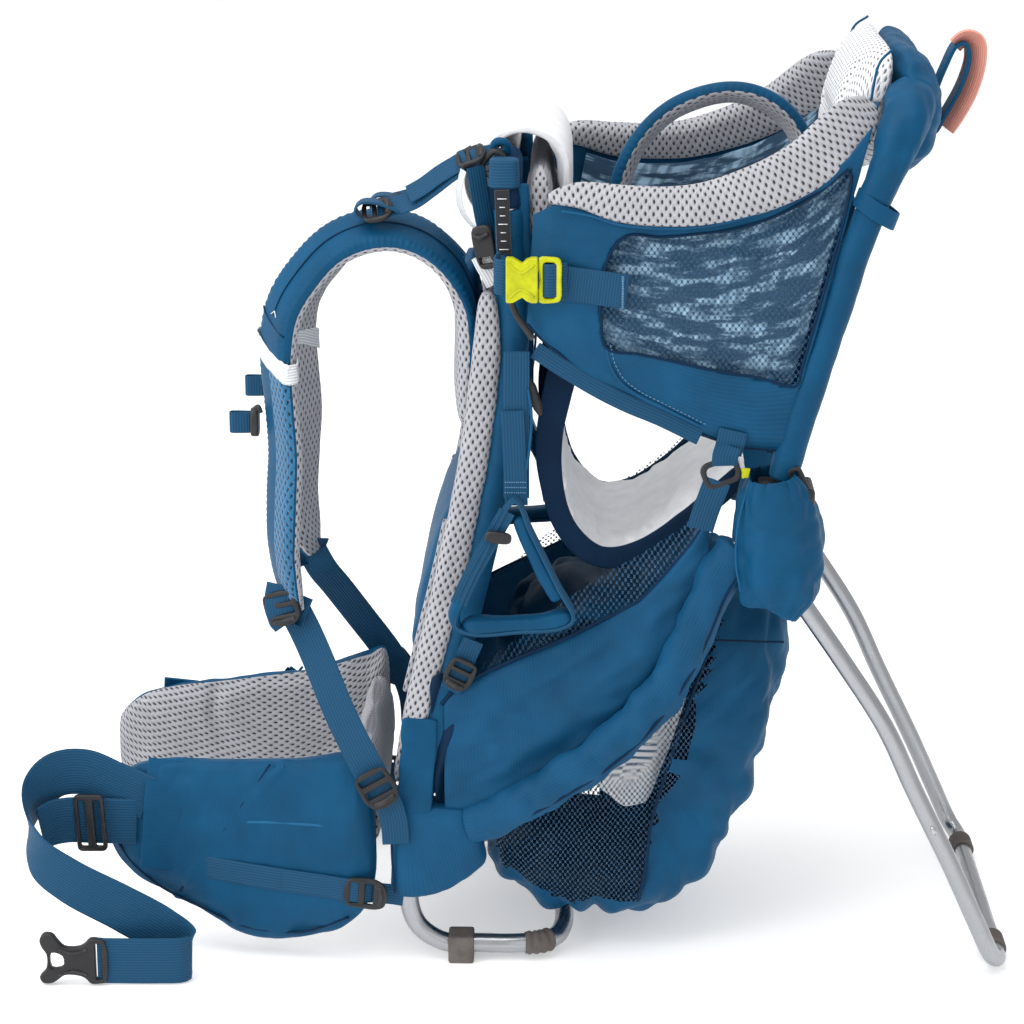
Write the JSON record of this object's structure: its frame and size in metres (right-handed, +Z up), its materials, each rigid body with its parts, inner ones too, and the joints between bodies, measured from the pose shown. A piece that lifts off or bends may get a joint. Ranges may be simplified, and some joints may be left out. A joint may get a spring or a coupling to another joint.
{
  "type": "baby carrier backpack",
  "caption": "Framed backpack that carries a small child in a padded cockpit, standing on a base loop and a fold-out kickstand.",
  "frame": {"origin": "on the floor, below the middle of the object's outline", "axes": "+X rearward, away from the wearer, who faces -X; +Y towards the wearer's right; +Z up"},
  "size_m": [0.7656, 0.3325, 0.7085],
  "materials": {
    "aluminium": "satin bare tube",
    "steel": "turned pin",
    "black_plastic": "moulded",
    "lime_plastic": "moulded",
    "rubber": "matt",
    "blue_fabric": "fine ribbed weave",
    "spacer_mesh": "padded spacer mesh with staggered holes",
    "white_fabric": "soft brushed lining",
    "blue_webbing": "woven webbing"
  },
  "bodies": {
    "frame": {"main_frame_tube": "aluminium", "lower_rail_left": "aluminium", "lower_rail_right": "aluminium", "rear_hoop_tube": "aluminium", "corner_bracket_left": "blue_fabric", "corner_bracket_right": "blue_fabric", "pivot_housing_left": "black_plastic", "pivot_housing_right": "black_plastic", "kickstand_pin_left": "steel", "kickstand_pin_right": "steel", "base_foot_left": "rubber", "base_foot_right": "rubber", "upright_sleeve_left": "blue_fabric", "upright_sleeve_right": "blue_fabric", "rail_sleeve_left": "blue_fabric", "rail_sleeve_right": "blue_fabric", "pivot_cover_left": "blue_fabric", "pivot_cover_right": "blue_fabric", "back_pad_left": "spacer_mesh", "back_pad_right": "spacer_mesh", "back_panel": "blue_fabric", "lumbar_pad": "spacer_mesh", "chin_pad": "white_fabric", "chest_pad": "spacer_mesh", "cockpit_panel_left": "blue_fabric", "cockpit_panel_right": "blue_fabric", "rim_pad_left": "spacer_mesh", "rim_pad_right": "spacer_mesh", "headrest_pad": "spacer_mesh", "headrest_cover": "blue_fabric", "seat_sling": "white_fabric", "seat_back": "blue_fabric", "side_panel_left": "blue_fabric", "side_panel_right": "blue_fabric", "storage_bag": "blue_fabric", "harness_pad": "blue_fabric", "side_buckle_female": "lime_plastic", "load_lifter_left": "blue_webbing", "load_lifter_right": "blue_webbing", "lower_strap_left": "blue_webbing", "lower_strap_right": "blue_webbing"},
    "kickstand": {"kickstand_tube": "aluminium", "kickstand_foot_left": "rubber", "kickstand_foot_right": "rubber"},
    "shoulder_harness": {"shoulder_strap_left": "blue_fabric", "shoulder_strap_right": "blue_fabric", "yoke_plate": "blue_fabric"},
    "sternum_slider_left": {"sternum_slider_left": "black_plastic"},
    "sternum_slider_right": {"sternum_slider_right": "black_plastic"},
    "hip_fin_left": {"hip_fin_left": "blue_fabric", "hip_belt_left": "blue_webbing"},
    "hip_fin_right": {"hip_fin_right": "blue_fabric", "hip_belt_right": "blue_webbing"},
    "hip_buckle_male": {"hip_buckle_male": "black_plastic"},
    "hip_buckle_female": {"hip_buckle_female": "black_plastic"},
    "foot_stirrup_left": {"foot_stirrup_left": "blue_webbing"},
    "foot_stirrup_right": {"foot_stirrup_right": "blue_webbing"},
    "rear_grab_loop": {"rear_grab_loop": "blue_webbing"},
    "side_buckle_male": {"side_buckle_male": "lime_plastic"}
  },
  "joints": [
    {"name": "kickstand_fold", "type": "hinge", "parent": "frame", "child": "kickstand", "pos_m": [0.197, 0, 0.33], "axis": [0, 1, 0], "range_deg": [0, 51]},
    {"name": "harness_height", "type": "slide", "parent": "frame", "child": "shoulder_harness", "axis": [0.16, 0, 0.9871], "range_m": [-0.028, 0.015], "deforming": ["load_lifter_left", "load_lifter_right", "lower_strap_left", "lower_strap_right"]},
    {"name": "sternum_slide_left", "type": "slide", "parent": "shoulder_harness", "child": "sternum_slider_left", "axis": [0, 0, 1], "range_m": [-0.015, 0.015]},
    {"name": "sternum_slide_right", "type": "slide", "parent": "shoulder_harness", "child": "sternum_slider_right", "axis": [0, 0, 1], "range_m": [-0.015, 0.015]},
    {"name": "hip_fin_left_flex", "type": "hinge", "parent": "frame", "child": "hip_fin_left", "pos_m": [-0.106, -0.115, 0.1], "axis": [0, 0, 1], "range_deg": [-10, 14]},
    {"name": "hip_fin_right_flex", "type": "hinge", "parent": "frame", "child": "hip_fin_right", "pos_m": [-0.106, 0.115, 0.1], "axis": [0, 0, 1], "range_deg": [-14, 10]},
    {"name": "hip_buckle_male_swivel", "type": "hinge", "parent": "hip_fin_left", "child": "hip_buckle_male", "pos_m": [-0.3165, -0.163, 0.0203], "axis": [0, 0, 1], "range_deg": [-45, 45]},
    {"name": "hip_buckle_female_swivel", "type": "hinge", "parent": "hip_fin_right", "child": "hip_buckle_female", "pos_m": [-0.1485, 0.153, 0.0203], "axis": [0, 0, 1], "range_deg": [-10, 45]},
    {"name": "foot_stirrup_left_swing", "type": "hinge", "parent": "frame", "child": "foot_stirrup_left", "pos_m": [-0.003, -0.1365, 0.497], "axis": [0, 1, 0], "range_deg": [-17, 20]},
    {"name": "foot_stirrup_right_swing", "type": "hinge", "parent": "frame", "child": "foot_stirrup_right", "pos_m": [-0.003, 0.1365, 0.497], "axis": [0, 1, 0], "range_deg": [-17, 20]},
    {"name": "rear_grab_loop_fold", "type": "hinge", "parent": "frame", "child": "rear_grab_loop", "pos_m": [0.3055, 0, 0.636], "axis": [0, 1, 0], "range_deg": [0, 75]},
    {"name": "side_buckle_release", "type": "slide", "parent": "frame", "child": "side_buckle_male", "axis": [1, 0, 0], "range_m": [0, 0.022]}
  ]
}
